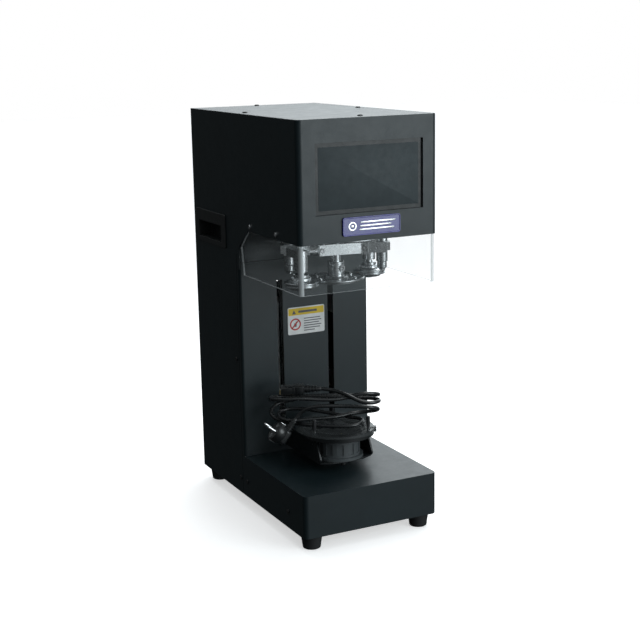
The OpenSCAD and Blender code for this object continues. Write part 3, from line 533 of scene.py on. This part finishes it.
for s in (-1, 1):
    prism(bm, [(4, -2.6), (15.2, -2.6), (15.2, 2.6), (4, 2.6)], s * 17.6 if s > 0 else -18.9, 18.9 if s > 0 else -17.6, plug)
clips = mesh_obj("plug_earth_clips", bm, M["polished_screw"])
bevel_apply(clips, 0.0004, 2)
bm = bmesh.new()
for s in (-1, 1):
    sock = plug @ Matrix.Translation(Vector((0.0162, 0, s * 0.0105))) @ Matrix.Rotation(math.pi / 2, 4, "Y")
    lathe(bm, [(2.6, 0), (3.7, 0), (3.7, 0.8), (2.6, 0.8), (2.6, 0)], sock, 28)
sock_ob = mesh_obj("plug_sockets", bm, M["polished_screw"], 34)
for o, sl in ((plug_body, "lead_pvc"), (plug_back, "lead_pvc"), (plug_relief, "lead_pvc"), (pins_ob, "polished_screw"), (clips, "polished_screw"), (sock_ob, "polished_screw")):
    place(o, "can_rest")
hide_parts("lead_connector")
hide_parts("lead_plug")

# ------------------------------------------------------- rounded CAD parts
BEVELS = {
    "outer_shell": 0.0006, "top_cover": 0.0006, "base_cover": 0.0006, "column_cover": 0.0004, "throat_plate": 0.0004, "rear_cover": 0.0003,
    "handle_left": 0.0012, "handle_right": 0.0012, "display_housing": 0.0004, "acrylic_guard": 0.0005, "badge_plate": 0.0004,
    "tray_plate": 0.0008, "tray_disc": 0.0005, "tray_drum": 0.0006, "lift_fork": 0.0008, "right_arm": 0.0007, "left_arm": 0.0007,
    "seaming_chuck": 0.0003, "right_roller": 0.0004, "left_roller": 0.0004, "pivot_posts": 0.0004, "locator_pins": 0.0004, "feet": 0.0008,
    "silver_screws": 0.0002, "black_screws": 0.0002, "power_inlet": 0.0004, "switch_housing": 0.0004, "power_rocker": 0.0005,
    "fan_frame": 0.0005, "turret": 0.0006, "bump_stop": 0.0005,
}
ROUNDED = {}
for name_, w_ in BEVELS.items():
    ROUNDED[name_] = bevelled(name_, w_)

# the screws below the head are blackened; the sheet's cut edges are bright
sc_ = bpy.data.objects["silver_screws_rounded"].data
sc_.materials.append(M["black_screw"])
for f_ in sc_.polygons:
    if f_.center.z < 0.44:
        f_.material_index = len(sc_.materials) - 1
ga_ = bpy.data.objects["acrylic_guard_rounded"].data
ga_.materials.append(M["acrylic_edge"])
for f_ in ga_.polygons:
    if f_.area < 0.00035 or abs(f_.normal.z) > 0.6:
        f_.material_index = len(ga_.materials) - 1

# ------------------------------------------------------------ seaming head
for t in (0, 180):
    f = 1 if t == 0 else -1
    tag, b_ = ("right", "arm_right") if t == 0 else ("left", "arm_left")
    nrm = arm(f * 0.301, f * 0.954, 0) - arm(0, 0, 0)
    cap_screw(tag + "_bar_screw", arm(f * -22.6, f * 35.4, 497.5), nrm, 4.2, 2.6, 1.9, b_)
    nrm2 = arm(0, f * 1.0, 0) - arm(0, 0, 0)
    cap_screw(tag + "_clamp_screw", arm(f * 50.4, f * 15.0, 498), nrm2, 3.6, 2.4, 1.7, b_)
    cap_screw(tag + "_post_screw", arm(f * 72, f * 8.0, 497), nrm2, 2.8, 1.6, 1.3, b_)
    cap_screw(tag + "_post_end", arm(f * 81, f * -10, 457.2), (0, 0, -1), 5.0, 2.2, 2.4, "turret_body")
    cap_screw(tag + "_roller_nut", arm(f * 60, f * -58, 435.7), (0, 0, -1), 6.4, 2.6, 2.6, "roller_" + tag)
    # knurled band and nut stack on the roller
    c0 = arm(f * 60, f * -58, 0)
    bm = bmesh.new()
    m4 = Matrix.Translation(c0)
    for k in range(60):
        a = 2 * math.pi * k / 60
        rr = 16.2
        mk = m4 @ Matrix.Rotation(a, 4, "Z") @ Matrix.Translation(Vector((rr / 1000, 0, 0.4526)))
        prism(bm, [(-0.5, -0.55), (0.55, 0), (-0.5, 0.55)], 0, 3.0, mk)
    kn = mesh_obj(tag + "_roller_knurl", bm, M["turned_steel"], 20)
    place(kn, "roller_" + tag)

ang = math.radians(-75)
dirv = Vector((math.cos(ang), math.sin(ang), 0))
org = Vector((0, AXIS.y, 0.462)) + dirv * 0.0142
cap_screw("collar_set_screw", org, dirv, 5.8, 3.6, 2.7, "cabinet")
for k in range(6):
    a = math.radians(-75 + 30 + 60 * k)
    cap_screw("chuck_screw_%d" % k, Vector((0.035 * math.cos(a), AXIS.y + 0.035 * math.sin(a), 0.4449)), (0, 0, 1), 2.7, 2.2, 1.3, "cabinet")

# ------------------------------------------------------------------- badge
bl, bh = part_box("badge_plate")
bc = Vector(((bl.x + bh.x) / 2, bl.y + 0.0008, (bl.z + bh.z) / 2))
bmat = Matrix.Translation(bc) @ Matrix.Rotation(math.pi / 2, 4, "X")
bm = bmesh.new()
ring_outline(bm, round_outline(108, 31, 4, 8), round_outline(104.6, 27.6, 2.6, 8), -0.6, 0.45, bmat)
rim = mesh_obj("badge_rim", bm, M["badge_rim"])
place(bevel_apply(rim, 0.0002, 2), "cabinet")
bm = bmesh.new()
lathe(bm, [(5.0, -0.3), (7.6, -0.3), (7.6, 0.35), (5.0, 0.35), (5.0, -0.3)], bmat @ Matrix.Translation(Vector((-0.036, 0, 0))), 48)
for k, (x0, x1) in enumerate(((-22, 43), (-22, 36), (-22, 43))):
    y = 6.0 - 6.0 * k
    sk = 1.2
    prism(bm, [(x0 + (y - 1.3) * 0.2, y - 1.3), (x1 + (y - 1.3) * 0.2, y - 1.3), (x1 + (y + 1.3) * 0.2, y + 1.3), (x0 + (y + 1.3) * 0.2, y + 1.3)], -0.3, 0.3, bmat)
prism(bm, [(-38.2, -2.2), (-33.8, -2.2), (-33.8, 2.2), (-38.2, 2.2)], -0.3, 0.3, bmat @ Matrix.Identity(4))
motif = mesh_obj("badge_motif", bm, M["badge_rim"])
place(bevel_apply(motif, 0.00015, 2), "cabinet")

# ------------------------------------------------------------------- label
M["label_yellow"] = plastic("label_yellow_ink", (0.75, 0.52, 0.02), 0.42, 1200, 0.00001, 0.15)
M["label_red"] = plastic("label_red_ink", (0.52, 0.02, 0.015), 0.42, 1200, 0.00001, 0.15)
M["label_grey"] = plastic("label_grey_ink", (0.1, 0.1, 0.11), 0.45, 1200, 0.00001, 0.15)
ll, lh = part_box("info_label")
lc = Vector(((ll.x + lh.x) / 2, ll.y, (ll.z + lh.z) / 2))
lmat = Matrix.Translation(lc) @ Matrix.Rotation(math.pi / 2, 4, "X")


def decal(name, build, mat):
    bm = bmesh.new()
    build(bm)
    ob = mesh_obj(name, bm, mat)
    return place(ob, "cabinet")


decal("label_band", lambda b: prism(b, round_outline(72.5, 13, 1.2, 4, 0, 17), -0.05, 0.08, lmat), M["label_yellow"])
decal("label_band_mark", lambda b: [prism(b, [(-29, 12.6), (-21, 12.6), (-25, 20.4)], 0.07, 0.14, lmat),
      prism(b, round_outline(38, 4.2, 0.6, 2, 3, 16.6), 0.07, 0.14, lmat)], M["label_grey"])
decal("label_ring", lambda b: [lathe(b, [(8.6, -0.05), (11.2, -0.05), (11.2, 0.1), (8.6, 0.1), (8.6, -0.05)], lmat @ Matrix.Translation(Vector((-0.0225, -0.0065, 0))), 48),
      prism(b, [(-30.6, -13.2), (-28.9, -14.9), (-14.4, 0.2), (-16.1, 1.9)], -0.05, 0.1, lmat)], M["label_red"])
decal("label_lines", lambda b: [prism(b, round_outline(w, 1.7, 0.4, 2, -5 + w / 2, y), -0.05, 0.08, lmat)
      for w, y in ((34, 3), (36, -1.5), (31, -6), (36, -10.5), (33, -15), (22, -19.5))] + [
      prism(b, [(-24.6, -11), (-20.4, -11), (-19.2, -2), (-21.2, -1), (-22.2, -4), (-25.2, -4.6)], -0.05, 0.06, lmat)], M["label_grey"])

# ----------------------------------------------------------------- display
# painted reflection: the screen's grey-teal base colour stands in for the bright room reflected in the switched-off
# panel, which is itself near black
M["screen"] = plastic("screen_painted_reflection", (0.040, 0.052, 0.057), 0.55, 120, 0.000003, 0.08, 0.0, 0.3)
dl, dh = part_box("display_glass")
dc = Vector(((dl.x + dh.x) / 2, dl.y, (dl.z + dh.z) / 2))
dmat = Matrix.Translation(dc) @ Matrix.Rotation(math.pi / 2, 4, "X")
w_, h_ = (dh.x - dl.x) * 1000, (dh.z - dl.z) * 1000
bm = bmesh.new()
prism(bm, round_outline(w_ - 14, h_ - 14, 1.5, 4), -0.2, 0.25, dmat)
scr = mesh_obj("display_screen", bm, M["screen"])
place(bevel_apply(scr, 0.0002, 2), "cabinet")

# ----------------------------------------------------------- hidden moving
sl0, sh0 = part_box("cushion_spring")
cu2 = bpy.data.curves.new("cushion_coil", "CURVE")
cu2.dimensions = "3D"
cu2.bevel_depth = 0.0014
cu2.bevel_resolution = 4
s2 = cu2.splines.new("POLY")
turns, per = 4.5, 28
cnt = int(turns * per)
s2.points.add(cnt)
for k in range(cnt + 1):
    a = 2 * math.pi * k / per
    z = sl0.z + 0.0014 + (sh0.z - sl0.z - 0.0028) * k / cnt
    s2.points[k].co = (0.0165 * math.cos(a), AXIS.y + 0.0165 * math.sin(a), z, 1)
cu2.materials.append(M["turned_steel"])
coil_c = bpy.data.objects.new("cushion_coil_curve", cu2)
scene.collection.objects.link(coil_c)
coil_me = bpy.data.meshes.new_from_object(coil_c.evaluated_get(bpy.context.evaluated_depsgraph_get()))
bpy.data.objects.remove(coil_c)
coil_me.name = "cushion_coil"
for p_ in coil_me.polygons:
    p_.use_smooth = True
coil = bpy.data.objects.new("cushion_coil", coil_me)
scene.collection.objects.link(coil)
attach(coil, "lift")
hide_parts("cushion_spring")
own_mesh(coil)

# ------------------------------------------------------------------- stage
def area(name, loc, target, size, power, color=(1, 1, 1), size_y=None):
    ld = bpy.data.lights.new(name, "AREA")
    ld.energy = power
    ld.color = color
    ld.shape = "RECTANGLE"
    ld.size = size
    ld.size_y = size_y or size
    lo = bpy.data.objects.new(name, ld)
    lo.location = loc
    lo.rotation_euler = (Vector(target) - Vector(loc)).to_track_quat("-Z", "Y").to_euler()
    scene.collection.objects.link(lo)
    return lo


bm = bmesh.new()
bmesh.ops.create_grid(bm, x_segments=2, y_segments=2, size=9)
fm = bpy.data.meshes.new("studio_floor")
bm.to_mesh(fm)
bm.free()
floor = bpy.data.objects.new("studio_floor", fm)
floor.location = (0, 3, -0.0002)
scene.collection.objects.link(floor)
fmat, fnt, fsh = new_mat("paper_floor")
fsh.inputs["Base Color"].default_value = (0.93, 0.93, 0.93, 1)
fsh.inputs["Roughness"].default_value = 0.8
fm.materials.append(fmat)
floor.visible_glossy = False
floor.visible_diffuse = False

world = bpy.data.worlds.new("studio")
scene.world = world
world.use_nodes = True
wnt = world.node_tree
for n_ in list(wnt.nodes):
    wnt.nodes.remove(n_)
wout = wnt.nodes.new("ShaderNodeOutputWorld")
wtc = wnt.nodes.new("ShaderNodeTexCoord")


def lobe(direction, power, gain):
    """a soft patch of light from one side of the studio"""
    d = Vector(direction).normalized()
    dp = wnt.nodes.new("ShaderNodeVectorMath")
    dp.operation = "DOT_PRODUCT"
    dp.inputs[1].default_value = d
    wnt.links.new(wtc.outputs["Generated"], dp.inputs[0])
    mx = wnt.nodes.new("ShaderNodeMath")
    mx.operation = "MAXIMUM"
    mx.inputs[1].default_value = 0.0
    wnt.links.new(dp.outputs["Value"], mx.inputs[0])
    pw = wnt.nodes.new("ShaderNodeMath")
    pw.operation = "POWER"
    pw.inputs[1].default_value = power
    wnt.links.new(mx.outputs[0], pw.inputs[0])
    ml = wnt.nodes.new("ShaderNodeMath")
    ml.operation = "MULTIPLY"
    ml.inputs[1].default_value = gain
    wnt.links.new(pw.outputs[0], ml.inputs[0])
    return ml


total = None
for l_ in (lobe((0.6, 0.75, 0.33), 8, 2.3), lobe((0, 0, 1), 2, 0.55), lobe((0.45, -0.88, 0.22), 3, 0.52)):
    if total is None:
        total = l_
    else:
        ad = wnt.nodes.new("ShaderNodeMath")
        ad.operation = "ADD"
        wnt.links.new(total.outputs[0], ad.inputs[0])
        wnt.links.new(l_.outputs[0], ad.inputs[1])
        total = ad
base_ = wnt.nodes.new("ShaderNodeMath")
base_.operation = "ADD"
base_.inputs[1].default_value = 0.03
wnt.links.new(total.outputs[0], base_.inputs[0])
bg_l = wnt.nodes.new("ShaderNodeBackground")
bg_l.inputs["Color"].default_value = (0.9, 0.97, 1, 1)
wnt.links.new(base_.outputs[0], bg_l.inputs["Strength"])
bg_c = wnt.nodes.new("ShaderNodeBackground")
bg_c.inputs["Color"].default_value = (1, 1, 1, 1)
bg_c.inputs["Strength"].default_value = 1.0
lp_ = wnt.nodes.new("ShaderNodeLightPath")
mix_ = wnt.nodes.new("ShaderNodeMixShader")
wnt.links.new(lp_.outputs["Is Camera Ray"], mix_.inputs[0])
wnt.links.new(bg_l.outputs[0], mix_.inputs[1])
wnt.links.new(bg_c.outputs[0], mix_.inputs[2])
wnt.links.new(mix_.outputs[0], wout.inputs[0])
fsh.inputs["Emission Color"].default_value = (1, 1, 1, 1)
fsh.inputs["Emission Strength"].default_value = 0.55

area("overhead", (0.5, 0.5, 2.2), (0, 0, 0.3), 1.8, 26)
area("head_softbox", (0.9, -1.8, 0.8), (0, -0.2, 0.62), 1.2, 15, (0.88, 0.97, 1))
